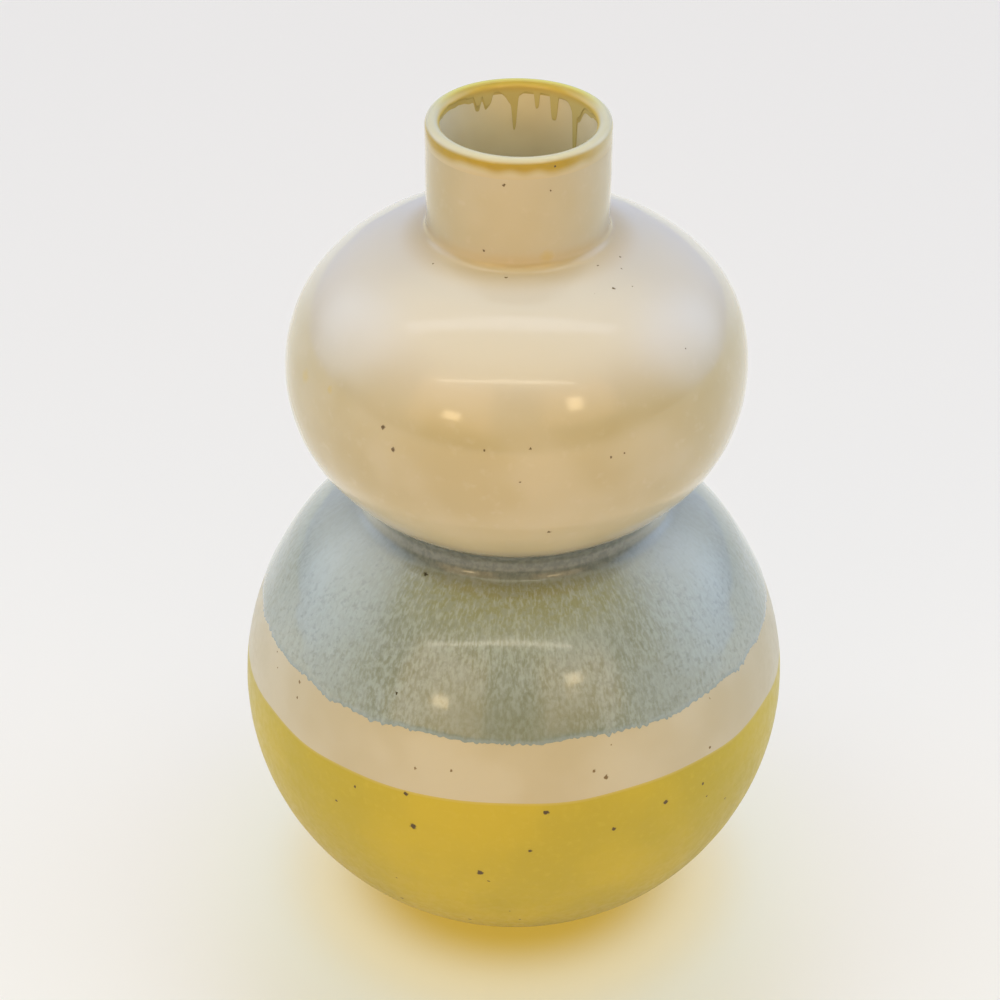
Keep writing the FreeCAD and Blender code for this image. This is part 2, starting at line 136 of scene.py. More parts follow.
def oval(radius, half_height, reach):
    """Radii of the two arcs of a bulb's quarter: one centred on the axis, and one through the belly.

    They touch at a reach from the axis, where slope, the tangent of half the turn there, solves
    reach * slope^2 - (half_height + radius) * slope + (half_height - radius + reach) = 0.
    """
    spread = half_height + radius
    slope = (spread - math.sqrt(spread**2 - 4 * reach * (half_height - radius + reach))) / (2 * reach)
    end_arc = reach * (1 + slope**2) / (2 * slope)
    side_arc = (radius - reach) * (1 + slope**2) / (1 - slope) ** 2
    return end_arc, side_arc


def silhouette():
    """Points along the outside from the foot over the lip and into the mouth: radius, height, normal.

    It is a chain of arcs that touch each other, so each centre follows from the last one: a hollow
    arc's centre is the sum of both radii away from a bulging one's.
    """
    base, side = oval(LOWER_RADIUS, LOWER_HALF, LOWER_REACH)
    crown, top_side = oval(UPPER_RADIUS, UPPER_HALF, UPPER_REACH)
    waist_centre = WAIST_RADIUS + WAIST_HOLLOW
    neck_centre = NECK_RADIUS + NECK_HOLLOW
    belly = WAIST_HEIGHT - math.sqrt((side + WAIST_HOLLOW) ** 2 - (waist_centre - LOWER_RADIUS + side) ** 2)
    top_belly = WAIST_HEIGHT + math.sqrt(
        (top_side + WAIST_HOLLOW) ** 2 - (waist_centre - UPPER_RADIUS + top_side) ** 2
    )
    base_height = belly - LOWER_HALF + base
    crown_height = top_belly + UPPER_HALF - crown
    neck_foot = crown_height + math.sqrt((crown + NECK_HOLLOW) ** 2 - neck_centre**2)
    lip = NECK_WALL / 2
    arcs = [
        (0.0, base_height, base, 1),
        (LOWER_RADIUS - side, belly, side, 1),
        (waist_centre, WAIST_HEIGHT, WAIST_HOLLOW, -1),
        (UPPER_RADIUS - top_side, top_belly, top_side, 1),
        (0.0, crown_height, crown, 1),
        (neck_centre, neck_foot, NECK_HOLLOW, -1),
    ]
    stretches = []
    angle = math.asin((YELLOW_FOOT - base_height) / base)
    for here, (r0, z0, radius, bend) in enumerate(arcs):
        end = 0.0
        if here + 1 < len(arcs):
            r1, z1, next_radius, next_bend = arcs[here + 1]
            gap = bend * radius - next_bend * next_radius
            end = math.atan2((z1 - z0) / gap, (r1 - r0) / gap)
        sweep = np.linspace(angle, end, max(int(radius * abs(end - angle) / STEP), 2), endpoint=False)
        normal = np.stack([np.cos(sweep), np.sin(sweep)], axis=1)
        stretches.append(np.hstack([np.array([r0, z0]) + bend * radius * normal, normal]))
        angle = end
    lip_height = RIM_HEIGHT - lip
    heights = np.linspace(neck_foot, lip_height, NECK_STEPS, endpoint=False)
    stretches.append(np.stack([heights * 0 + NECK_RADIUS, heights, heights * 0 + 1, heights * 0], axis=1))
    sweep = np.linspace(0, math.pi, LIP_STEPS, endpoint=False)
    normal = np.stack([np.cos(sweep), np.sin(sweep)], axis=1)
    stretches.append(np.hstack([np.array([NECK_RADIUS - lip, lip_height]) + lip * normal, normal]))
    heights = np.linspace(lip_height, lip_height - MOUTH_DEPTH, MOUTH_STEPS)
    stretches.append(
        np.stack([heights * 0 + NECK_RADIUS - NECK_WALL, heights, heights * 0 - 1, heights * 0], axis=1)
    )
    return np.vstack(stretches)


OUTSIDE = silhouette()
RUN = np.concatenate([[0], np.cumsum(np.hypot(*np.diff(OUTSIDE[:, :2], axis=0).T))])
RIM_RUN = RUN[np.argmax(OUTSIDE[:, 1])]


def run_at(height):
    """How far along the outside a height is reached, in mm."""
    outer = RUN <= RIM_RUN
    return float(np.interp(height, OUTSIDE[outer, 1], RUN[outer]))


def waves(angles, lowest, highest, seed):
    """A closed wavy line round the vase, about -1 to 1: a sum of cosines of whole turns."""
    draw = np.random.default_rng(seed)
    turns = np.arange(lowest, highest + 1)
    starts = draw.uniform(0, 2 * math.pi, turns.size)
    sizes = draw.uniform(0.4, 1.0, turns.size) / turns**0.5
    line = (sizes[:, None] * np.cos(turns[:, None] * angles + starts[:, None])).sum(axis=0)
    return line / (2 * line.std())


RING_DEPTH, RING_PITCH, RING_SWELL = 0.02, 1.15, 9.0
OVAL_DEPTH, OVAL_TWIST = 0.07, 14
THREE_SIDED_DEPTH, THREE_SIDED_TWIST = 0.05, 21


def thrown(run, angles):
    """How far the hand left the wall from the true arc, in mm.

    It is shallow rings that spiral a little, sin(run / pitch + 0.6 sin(angle)), and a wall that is
    slightly oval and slightly three-sided, both twisted on the way up.
    """
    rings = RING_DEPTH * np.sin(run / RING_PITCH + 0.6 * np.sin(angles)) * np.sin(run / RING_SWELL + 1.0)
    oval_wall = OVAL_DEPTH * np.sin(2 * angles + run / OVAL_TWIST)
    return rings + oval_wall + THREE_SIDED_DEPTH * np.sin(3 * angles - run / THREE_SIDED_TWIST + 1.3)


def smooth_step(value):
    """3 v^2 - 2 v^3 for v held between 0 and 1."""
    held = np.clip(value, 0, 1)
    return held * held * (3 - 2 * held)


RIM_TILT, TILTED_LENGTH = 1.3, 20


def tilted(run, angles):
    """How far the hand-cut rim rises towards the back, in mm: nothing at the neck's foot, most on the lip."""
    along = smooth_step((run - RIM_RUN + TILTED_LENGTH) / TILTED_LENGTH)
    return RIM_TILT * along * (1 - np.cos(angles)) / 2


# Where the walls are fuller than the true form: by how much in mm, at what height, and over what length.
UPPER_RIGHT, UPPER_LEFT, UPPER_FULL_HEIGHT, UPPER_FULL_LENGTH = 1.1, 0.25, 157, 12
LOWER_SIDES, LOWER_FULL_HEIGHT, LOWER_FULL_LENGTH = 0.8, 95, 11


def fuller(run, angles):
    """How much fuller the walls are: the upper shoulder on its right, and the lower one at both sides.

    Each is exp(-((run - middle) / length)^2) along the wall, times the squared sine of the angle.
    """
    right, left = np.clip(np.sin(angles), 0, 1) ** 2, np.clip(-np.sin(angles), 0, 1) ** 2
    upper = (UPPER_RIGHT * right + UPPER_LEFT * left) * np.exp(
        -(((run - run_at(UPPER_FULL_HEIGHT)) / UPPER_FULL_LENGTH) ** 2)
    )
    lower = LOWER_SIDES * np.exp(-(((run - run_at(LOWER_FULL_HEIGHT)) / LOWER_FULL_LENGTH) ** 2))
    return upper + lower * np.sin(angles) ** 2


def surface(run, angles, depth, lift=1.0):
    """Points that lie a depth in mm under the glaze, at a run along the outside and an angle round it.

    lift is the share of the fuller walls and of the rim's tilt that they follow.
    """
    radius, height, out, up = (np.interp(run, RUN, OUTSIDE[:, column]) for column in range(4))
    above = thrown(run, angles) + lift * fuller(run, angles) - depth
    radius = radius + out * above
    height = height + up * above + lift * tilted(run, angles)
    return np.stack([radius * np.sin(angles), -radius * np.cos(angles), height], axis=-1)


SHARP_ANGLE = math.radians(50)
HELD_SHARE = 0.7


def closed_mesh(name, grid, marks):
    """A closed ring-shaped mesh from a grid of points: round a section, then round the axis, in mm."""
    rows, columns = grid.shape[:2]
    numbers = np.arange(rows * columns).reshape(rows, columns)
    below, above = numbers, np.roll(numbers, -1, axis=0)
    faces = np.stack([below, np.roll(below, -1, axis=1), np.roll(above, -1, axis=1), above], axis=-1)
    return mesh_from(name, grid.reshape(-1, 3), faces.reshape(-1, 4), marks)


def mesh_from(name, points, faces, marks):
    """A smooth object with its points in mm, its faces, and a value at each point for every mark."""
    mesh = bpy.data.meshes.new(name)
    mesh.from_pydata((points * MM).tolist(), [], faces.tolist())
    for mark, values in marks.items():
        carried = mesh.attributes.new(mark, "FLOAT", "POINT").data
        carried.foreach_set("value", values.astype(np.float32).ravel())
    mesh.shade_smooth()
    mesh.set_sharp_from_angle(angle=SHARP_ANGLE)
    made = bpy.data.objects.new(name, mesh)
    bpy.context.scene.collection.objects.link(made)
    return made


def glaze_coat(name, low, high, count, rows, held=None, under=None, over=None, marks=None):
    """A glaze coat between two edges, each a run along the outside for every angle.

    Its rows are spaced evenly between the edges, or first up to a held run and then on to the upper
    edge. under and over give the depth of its inner and outer face from the run and the distance to
    both edges. At each point it marks how far the lower and the upper edge are, in mm.
    """
    angles = np.arange(count) * 2 * math.pi / count
    low = np.broadcast_to(low, count)
    high = np.broadcast_to(high, count)
    held = low if held is None else np.broadcast_to(held, count)
    far = np.linspace(0, 1, rows)[:, None]
    split = 0.0 if held is low else HELD_SHARE
    out_run = low + np.clip(far / max(split, 1e-9), 0, 1) * (held - low)
    out_run = out_run + np.clip((far - split) / (1 - split), 0, 1) * (high - held)
    back_run = out_run[::-2]
    out_depth = over(out_run, out_run - low, high - out_run) if over else 0 * out_run
    back_depth = under(back_run) if under else COAT + 0 * back_run
    outer = surface(out_run, angles, out_depth)
    inner = surface(back_run, angles, back_depth, lift=0.0)
    run = np.vstack([out_run, back_run])
    values = {"from_low": run - low, "from_high": high - run, "run": run}
    if marks:
        values.update(marks(run, angles))
    return closed_mesh(name, np.concatenate([outer, inner]), values)


RAGGED_SIZE, RAGGED_SHIFT = 0.7, 0.9


def iron_specks(tree, place, listed, cell, share, rim=0.3):
    """Where iron shows, from 0 to 1: specks at listed angles, heights and radii in mm, and finer strewn ones.

    A listed speck is where the distance to its point is under its radius. A strewn one is where the
    distance to the nearest of the scattered points, one in each cell, is under a share of the cell. A
    fine noise shifts the place first, so the specks are ragged.
    """
    grain = {"Vector": place, "Scale": 1 / (RAGGED_SIZE * MM), "Detail": 1.0}
    ragged = add(tree, "TexNoise", grain, out="Color")
    shift = add(tree, "VectorMath", {0: ragged, 1: (0.5, 0.5, 0.5)}, operation="SUBTRACT")
    shifted = {0: shift, 1: (RAGGED_SHIFT * MM,) * 3, 2: place}
    moved = add(tree, "VectorMath", shifted, operation="MULTIPLY_ADD")
    nearest = None
    for degrees, height, size in listed:
        angle = np.array([math.radians(degrees)])
        point = surface(np.array([run_at(height)]), angle, np.array([0.0]))[0] * MM
        apart = add(tree, "VectorMath", {0: moved, 1: point.tolist()}, out="Value", operation="DISTANCE")
        apart = add(tree, "Math", {0: apart, 1: size * MM}, operation="DIVIDE")
        if nearest is not None:
            apart = add(tree, "Math", {0: apart, 1: nearest}, operation="MINIMUM")
        nearest = apart
    strewn = add(tree, "TexVoronoi", {"Vector": moved, "Scale": 1 / (cell * MM)})
    size = add(tree, "SeparateColor", {"Color": strewn.node.outputs["Color"]}, out="Red")
    limit = add(tree, "MapRange", {0: size, 1: 0.55, 2: 1.0, 3: 0.0, 4: share}, **SMOOTH)
    within = add(tree, "Math", {0: limit, 1: strewn}, operation="SUBTRACT")
    fine = add(tree, "MapRange", {0: within, 1: 0.0, 2: 0.02, 3: 0.0, 4: 1.0}, **SMOOTH)
    big = add(tree, "MapRange", {0: nearest, 1: 1 - rim, 2: 1 + rim, 3: 1.0, 4: 0.0}, **SMOOTH)
    return add(tree, "Math", {0: big, 1: fine}, operation="MAXIMUM")


def dress(piece, surface_material, node_name):
    """Gives a coat its material, and puts it in the place of its node on the vase's one body."""
    piece.data.materials.append(surface_material)
    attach(piece, "root")
    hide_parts(node_name)


COAT_COUNT = 512
YELLOW_WANDER = 0.45
ANGLES = np.arange(COAT_COUNT) * 2 * math.pi / COAT_COUNT
yellow_edge = run_at(YELLOW_TOP) + YELLOW_WANDER * waves(ANGLES, 3, 18, seed=5)
yellow_coat = glaze_coat("yellow_coat", run_at(YELLOW_FOOT), yellow_edge, COAT_COUNT, rows=110)

# Satin glaze coloured with stain and rutile, poured and fired: soft sheen, even colour with a faint
# olive cloud, and a soft edge where it ran into the cream.
yellow_glaze, tree, place = new_material("stoneware_glaze_satin_yellow")
clouds = add(tree, "TexNoise", {"Vector": place, "Scale": 1 / (28 * MM)})
clouds = add(tree, "MapRange", {0: clouds, 1: 0.35, 2: 0.65, 3: 0.0, 4: 1.0}, **SMOOTH)
base = add(tree, "Mix", {0: clouds, 6: "#B6A523", 7: "#AB9D23"}, **COLOUR)
rutile = add(tree, "TexNoise", {"Vector": place, "Scale": 1 / (1.6 * MM), "Detail": 4.0})
rutile = add(tree, "MapRange", {0: rutile, 1: 0.5, 2: 0.8, 3: 0.0, 4: 0.25}, **SMOOTH)
base = add(tree, "Mix", {0: rutile, 6: base, 7: "#BFB03A"}, **COLOUR)
edge = add(tree, "Attribute", out="Fac", attribute_name="from_high")
edge = add(tree, "MapRange", {0: edge, 1: 0.0, 2: 0.9, 3: 0.4, 4: 0.0}, **SMOOTH)
base = add(tree, "Mix", {0: edge, 6: base, 7: "#BDB07C"}, **COLOUR)
specks = iron_specks(
    tree, place,
    [
        (-20.1, 54.4, 0.75), (-6.5, 42.8, 0.71), (6.7, 61.3, 0.56), (-21.8, 62.8, 0.52),
        (32.5, 56.9, 0.60), (20.7, 53.9, 0.52), (3.6, 50.6, 0.41), (-27.7, 22.2, 0.45),
        (-10.6, 18.4, 0.45), (2.1, 21.1, 0.38), (-25.7, 33.8, 0.30), (-33.5, 59.8, 0.38),
        (42.2, 56.8, 0.34), (118.0, 40.0, 0.68), (171.0, 57.0, 0.60), (-139.0, 35.0, 0.68),
        (-96.0, 52.0, 0.52), (146.0, 24.0, 0.45),
    ],
    cell=5.0, share=0.075,
)
base = add(tree, "Mix", {0: specks, 6: base, 7: "#4A3B1A"}, **COLOUR)
skin = add(tree, "TexNoise", {"Vector": place, "Scale": 1 / (1.8 * MM), "Detail": 3.0})
satin = add(tree, "MapRange", {0: skin, 1: 0.3, 2: 0.7, 3: 0.3, 4: 0.4}, **SMOOTH)
relief = add(tree, "Bump", {"Height": skin, "Distance": 0.03 * MM, "Strength": 1.0})
look = {"Base Color": base, "Roughness": satin, "Normal": relief, "IOR": 1.5, "Specular IOR Level": 0.45}
add(tree, "OutputMaterial", {"Surface": add(tree, "BsdfPrincipled", look)})
dress(yellow_coat, yellow_glaze, "yellow_glaze")

# Cream band over the belly.
# A thin pale coat of the same satin kind, left between the yellow base and the blue shoulder, and it
# runs on a little way under the blue.

BLUE_RUN = run_at(BAND_TOP)
BAND_OVERLAP = 4.8
DIVE_START, DIVE_LENGTH, DIVE_DEPTH = 1.9, 2.6, COAT - 0.04


def band_depth(run):
    """Depth of the cream band's face: none where it shows, and down to the clay under the blue."""
    return DIVE_DEPTH * smooth_step((run - BLUE_RUN - DIVE_START) / DIVE_LENGTH)


cream_band = glaze_coat(
    "cream_band_coat", yellow_edge, BLUE_RUN + BAND_OVERLAP, COAT_COUNT, rows=60,
    over=lambda run, from_low, from_high: band_depth(run),
)
# Clear-cream satin glaze over stoneware, fired: the body's warm colour shows through, and small iron
# grains with it.
band_glaze, tree, place = new_material("stoneware_glaze_satin_cream")
clouds = add(tree, "TexNoise", {"Vector": place, "Scale": 1 / (22 * MM)})
clouds = add(tree, "MapRange", {0: clouds, 1: 0.35, 2: 0.65, 3: 0.0, 4: 1.0}, **SMOOTH)
base = add(tree, "Mix", {0: clouds, 6: "#BAB5A2", 7: "#B3AC94"}, **COLOUR)
specks = iron_specks(
    tree, place,
    [
        (-20.2, 69.7, 0.35), (-12.6, 70.7, 0.35), (19.2, 68.2, 0.5), (16.7, 70.2, 0.4),
        (37.0, 81.0, 0.5), (-56.8, 79.1, 0.5), (-53.5, 76.0, 0.4), (101.0, 72.0, 0.6),
        (-160.0, 70.0, 0.6), (160.0, 74.0, 0.4),
    ],
    cell=4.5, share=0.085,
)
base = add(tree, "Mix", {0: specks, 6: base, 7: "#6F5B37"}, **COLOUR)
skin = add(tree, "TexNoise", {"Vector": place, "Scale": 1 / (1.8 * MM), "Detail": 3.0})
satin = add(tree, "MapRange", {0: skin, 1: 0.3, 2: 0.7, 3: 0.28, 4: 0.38}, **SMOOTH)
relief = add(tree, "Bump", {"Height": skin, "Distance": 0.03 * MM, "Strength": 1.0})
look = {"Base Color": base, "Roughness": satin, "Normal": relief, "IOR": 1.5}
add(tree, "OutputMaterial", {"Surface": add(tree, "BsdfPrincipled", look)})
dress(cream_band, band_glaze, "cream_band_glaze")

# Blue glaze on the shoulder.
# A thick glossy coat, poured from the waist down. It ran into fine streaks and stopped in short teeth
# that lie a little proud of the cream band.

BLUE_COUNT = 1024
BLUE_ANGLES = np.arange(BLUE_COUNT) * 2 * math.pi / BLUE_COUNT
BROAD_TEETH, FINE_TEETH, TEETH_RISE = 0.55, 0.6, 0.3
teeth = BROAD_TEETH * waves(BLUE_ANGLES, 4, 40, seed=11)
teeth = teeth + FINE_TEETH * np.abs(waves(BLUE_ANGLES, 40, 230, seed=12))
blue_edge = BLUE_RUN - teeth + TEETH_RISE

# The blue ends this many mm above the waist, where the upper bulb hides its edge from above.
BLUE_TOP_RISE = 3.4
BLUE_TOP_RUN = run_at(WAIST_HEIGHT + BLUE_TOP_RISE)
CREAM_SUNK, SUNK_START, SUNK_LENGTH = 0.35, 1.6, 1.5


def cream_depth(run):
    """Depth of the cream glaze's face: none where it shows, and sunk under the blue's upper edge."""
    return CREAM_SUNK * (1 - smooth_step((run - BLUE_TOP_RUN + SUNK_START) / SUNK_LENGTH))


BEAD_EDGE, BEAD_RISE, BEAD_WIDTH, BEAD_FADE = 0.03, 0.13, 0.9, 12
WAIST_BEAD, WAIST_BEAD_FADE = 0.05, 3


def blue_bead(run, from_low, from_high):
    """The blue stands proud of the band, behind an edge rounded as a quarter circle, and of the cream."""
    rise = np.sqrt(np.clip(1 - (1 - np.clip(from_low / BEAD_WIDTH, 0, 1)) ** 2, 0, 1))
    low = (BEAD_EDGE + BEAD_RISE * rise) * (1 - smooth_step(from_low / BEAD_FADE))
    return -low - WAIST_BEAD * (1 - smooth_step(from_high / WAIST_BEAD_FADE))


blue_coat = glaze_coat(
    "blue_coat", blue_edge, BLUE_TOP_RUN, BLUE_COUNT, rows=62,
    under=lambda run: np.minimum(band_depth(run), cream_depth(run)), over=blue_bead,
)
# Rutile blue glaze, poured thick and fired: it separates into pale blue and olive streaks about 1 mm
# wide that run down the shoulder, under a clear gloss. Both sides are painted greyer and paler, a painted
# reflection, and low down in front and at the back it is painted darker olive, painted shade. Round the
# waist it has painted light at the sides and a ring of painted shade.
blue_glaze, tree, place = new_material("stoneware_glaze_gloss_blue_streaked")
STREAK_RADIUS = 55.0
spread = add(tree, "SeparateXYZ", {"Vector": place}).node.outputs
flat = add(tree, "CombineXYZ", {"X": spread["X"], "Y": spread["Y"], "Z": 0.0})
way = add(tree, "VectorMath", {0: flat}, operation="NORMALIZE")
round_it = add(tree, "VectorMath", {0: way, "Scale": STREAK_RADIUS}, operation="SCALE")
run_down = add(tree, "Attribute", out="Fac", attribute_name="run")
wander = add(tree, "TexNoise", {"Vector": place, "Scale": 1 / (6.0 * MM)})


def streaks(width, length, detail):
    """Noise stretched down the shoulder: the way round counts per width and the run per length, in mm."""
    round_part = add(tree, "VectorMath", {0: round_it, "Scale": 1 / width}, operation="SCALE")
    run_part = add(tree, "Math", {0: run_down, 1: 1 / length, 2: wander}, operation="MULTIPLY_ADD")
    offset = add(tree, "CombineXYZ", {"X": 0.0, "Y": 0.0, "Z": run_part})
    where = add(tree, "VectorMath", {0: round_part, 1: offset}, operation="ADD")
    return add(tree, "TexNoise", {"Vector": where, "Scale": 1.0, "Detail": detail, "Roughness": 0.6})


fine_streaks, broad_streaks = streaks(0.75, 1.7, 4.0), streaks(2.6, 9.0, 2.0)
strokes = add(tree, "MapRange", {0: fine_streaks, 1: 0.36, 2: 0.64, 3: 0.0, 4: 1.0}, **SMOOTH)
base = add(tree, "Mix", {0: strokes, 6: "#7E877E", 7: "#95A3A4"}, **COLOUR)
runs = add(tree, "MapRange", {0: broad_streaks, 1: 0.45, 2: 0.75, 3: 0.0, 4: 0.4}, **SMOOTH)
base = add(tree, "Mix", {0: runs, 6: base, 7: "#A2B0BA"}, **COLOUR)
clouds = add(tree, "TexNoise", {"Vector": place, "Scale": 1 / (17 * MM), "Detail": 3.0})
clouds = add(tree, "MapRange", {0: clouds, 1: 0.42, 2: 0.66, 3: 0.0, 4: 0.5}, **SMOOTH)
base = add(tree, "Mix", {0: clouds, 6: base, 7: "#94A3AC"}, **COLOUR)
# facing is 1 in front and at the back, and 0 at both sides.
facing = add(tree, "SeparateXYZ", {"Vector": way}, out="Y")
facing = add(tree, "Math", {0: facing}, operation="ABSOLUTE")
# Painted reflection at both sides: a more even grey, then a paler tone, standing in for the white room
# mirrored in the gloss.
even = add(tree, "MapRange", {0: facing, 1: 0.55, 2: 0.9, 3: 0.45, 4: 0.0}, **SMOOTH)
base = add(tree, "Mix", {0: even, 6: base, 7: "#8E9B9B"}, **COLOUR)
before_side = add(tree, "MapRange", {0: facing, 1: 0.2, 2: 0.45, 3: 0.0, 4: 1.0}, **SMOOTH)
beside_front = add(tree, "MapRange", {0: facing, 1: 0.6, 2: 0.9, 3: 0.4, 4: 0.0}, **SMOOTH)
painted_reflection_at_sides = add(tree, "Math", {0: before_side, 1: beside_front}, operation="MULTIPLY")
base = add(tree, "Mix", {0: painted_reflection_at_sides, 6: base, 7: "#ABB5B6"}, **COLOUR)
mottle = add(tree, "TexNoise", {"Vector": place, "Scale": 1 / (1.4 * MM), "Detail": 3.0, "Roughness": 0.6})
dots = add(tree, "MapRange", {0: mottle, 1: 0.5, 2: 0.68, 3: 0.0, 4: 0.3}, **SMOOTH)
base = add(tree, "Mix", {0: dots, 6: base, 7: "#6B7268"}, **COLOUR)
# Painted shade: low down in front and at the back the blue is painted darker olive.
from_low = add(tree, "Attribute", out="Fac", attribute_name="from_low")
low_down = add(tree, "MapRange", {0: from_low, 1: 4, 2: 17, 3: 0.45, 4: 0.0}, **SMOOTH)
in_front = add(tree, "MapRange", {0: facing, 1: 0.9, 2: 0.99, 3: 0.0, 4: 1.0}, **SMOOTH)
thin_glaze_and_painted_shade = add(tree, "Math", {0: low_down, 1: in_front}, operation="MULTIPLY")
base = add(tree, "Mix", {0: thin_glaze_and_painted_shade, 6: base, 7: "#6F755E"}, **COLOUR)
# Olive under the waist, where the glaze is thin, more between the streaks than on them. Its share is raised
# in front and at the back, which is painted shade.
green = add(tree, "MapRange", {0: mottle, 1: 0.42, 2: 0.6, 3: 0.0, 4: 1.0}, **SMOOTH)
olive = add(tree, "Mix", {0: green, 6: "#7B7E52", 7: "#858E82"}, **COLOUR)
near_waist = add(
    tree, "MapRange", {0: run_down, 1: BLUE_TOP_RUN - 24, 2: BLUE_TOP_RUN - 12, 3: 0.0, 4: 1.0}, **SMOOTH
)
in_front = add(tree, "MapRange", {0: facing, 1: 0.72, 2: 1.0, 3: 0.15, 4: 1.0}, **SMOOTH)
near_waist = add(tree, "Math", {0: near_waist, 1: in_front}, operation="MULTIPLY")
between = add(tree, "MapRange", {0: fine_streaks, 1: 0.5, 2: 0.62, 3: 0.8, 4: 0.35}, **SMOOTH)
share = add(tree, "Math", {0: near_waist, 1: between}, operation="MULTIPLY")
base = add(tree, "Mix", {0: share, 6: base, 7: olive}, **COLOUR)
# Painted light at both sides of the waist, where the upper bulb shades it, and a steel-coloured ring of
# painted shade round the waist under the upper bulb, strongest in front and at the back.
upper = add(
    tree, "MapRange", {0: run_down, 1: BLUE_TOP_RUN - 30, 2: BLUE_TOP_RUN - 14, 3: 0.0, 4: 1.0}, **SMOOTH
)
at_sides = add(tree, "MapRange", {0: facing, 1: 0.35, 2: 0.85, 3: 0.5, 4: 0.0}, **SMOOTH)
pale = add(tree, "Math", {0: upper, 1: at_sides}, operation="MULTIPLY")
base = add(tree, "Mix", {0: pale, 6: base, 7: "#BCC6C4"}, **COLOUR)
ring = add(
    tree, "MapRange", {0: run_down, 1: BLUE_TOP_RUN - 10, 2: BLUE_TOP_RUN - 6, 3: 0.0, 4: 1.0}, **SMOOTH
)
in_front = add(tree, "MapRange", {0: facing, 1: 0.3, 2: 0.9, 3: 0.15, 4: 1.0}, **SMOOTH)
ring = add(tree, "Math", {0: ring, 1: in_front}, operation="MULTIPLY")
patchy = add(tree, "MapRange", {0: mottle, 1: 0.35, 2: 0.65, 3: 0.0, 4: 1.0}, **SMOOTH)
steel = add(tree, "Mix", {0: patchy, 6: "#5F6968", 7: "#717A79"}, **COLOUR)
base = add(tree, "Mix", {0: ring, 6: base, 7: steel}, **COLOUR)
tips = add(tree, "MapRange", {0: from_low, 1: 0.1, 2: 1.6, 3: 0.55, 4: 0.0}, **SMOOTH)
base = add(tree, "Mix", {0: tips, 6: base, 7: "#778C97"}, **COLOUR)
specks = iron_specks(
    tree, place, [(-30.9, 104.3, 0.5), (-27.0, 84.3, 0.35), (140.0, 92.0, 0.5)], cell=9.0, share=0.04
)
base = add(tree, "Mix", {0: specks, 6: base, 7: "#33301F"}, **COLOUR)
skin = add(tree, "TexNoise", {"Vector": place, "Scale": 1 / (5.0 * MM), "Detail": 1.5})
skin = add(tree, "Math", {0: fine_streaks, 1: 0.25, 2: skin}, operation="MULTIPLY_ADD")
gloss = add(tree, "MapRange", {0: fine_streaks, 1: 0.3, 2: 0.7, 3: 0.1, 4: 0.16}, **SMOOTH)
relief = add(tree, "Bump", {"Height": skin, "Distance": 0.05 * MM, "Strength": 1.0})
look = {
    "Base Color": base, "Roughness": gloss, "Normal": relief, "IOR": 1.5,
    "Coat Weight": 0.3, "Coat Roughness": 0.05, "Coat IOR": 1.5,
}
add(tree, "OutputMaterial", {"Surface": add(tree, "BsdfPrincipled", look)})
dress(blue_coat, blue_glaze, "blue_glaze")

# Cream glaze on the upper bulb and the neck.
# A glossy coat from the slim waist up to just under the lip. The tan body shows through it, and a few
# dark specks and yellow flecks.

AMBER_DROP, CREAM_OVERLAP = 4.5, 1.8
amber_run = run_at(RIM_HEIGHT - AMBER_DROP)
cream_coat = glaze_coat(
    "cream_coat", BLUE_TOP_RUN - CREAM_OVERLAP, amber_run, COAT_COUNT, rows=125,
    over=lambda run, from_low, from_high: cream_depth(run),
)
# Glossy cream glaze, dipped and fired: clear wet gloss over a slightly cloudy tan. The shoulder is painted
# paler, a painted reflection, and the lower part of the bulb painted lighter, painted light against the shade
# under it. It pools a little warmer at the neck's foot. Heights are in metres.
cream_glaze, tree, place = new_material("stoneware_glaze_gloss_cream")
clouds = add(tree, "TexNoise", {"Vector": place, "Scale": 1 / (24 * MM)})
clouds = add(tree, "MapRange", {0: clouds, 1: 0.35, 2: 0.65, 3: 0.0, 4: 1.0}, **SMOOTH)
base = add(tree, "Mix", {0: clouds, 6: "#B8B096", 7: "#B0A684"}, **COLOUR)
curds = add(tree, "TexNoise", {"Vector": place, "Scale": 1 / (3.0 * MM), "Detail": 4.0})
curds = add(tree, "MapRange", {0: curds, 1: 0.55, 2: 0.8, 3: 0.0, 4: 0.3}, **SMOOTH)
base = add(tree, "Mix", {0: curds, 6: base, 7: "#C1BAA6"}, **COLOUR)
# Painted reflection: the shoulder, between the belly and the neck, is painted paler, standing in for the
# overhead light mirrored in the gloss.
height = add(tree, "SeparateXYZ", {"Vector": place}, out="Z")
above_belly = add(tree, "MapRange", {0: height, 1: 0.150, 2: 0.166, 3: 0.0, 4: 1.0}, **SMOOTH)
below_neck = add(tree, "MapRange", {0: height, 1: 0.1725, 2: 0.1755, 3: 1.0, 4: 0.0}, **SMOOTH)
shoulder = add(tree, "Math", {0: above_belly, 1: below_neck}, operation="MULTIPLY")
base = add(tree, "Mix", {0: shoulder, 6: base, 7: "#C6C3BD"}, **COLOUR)
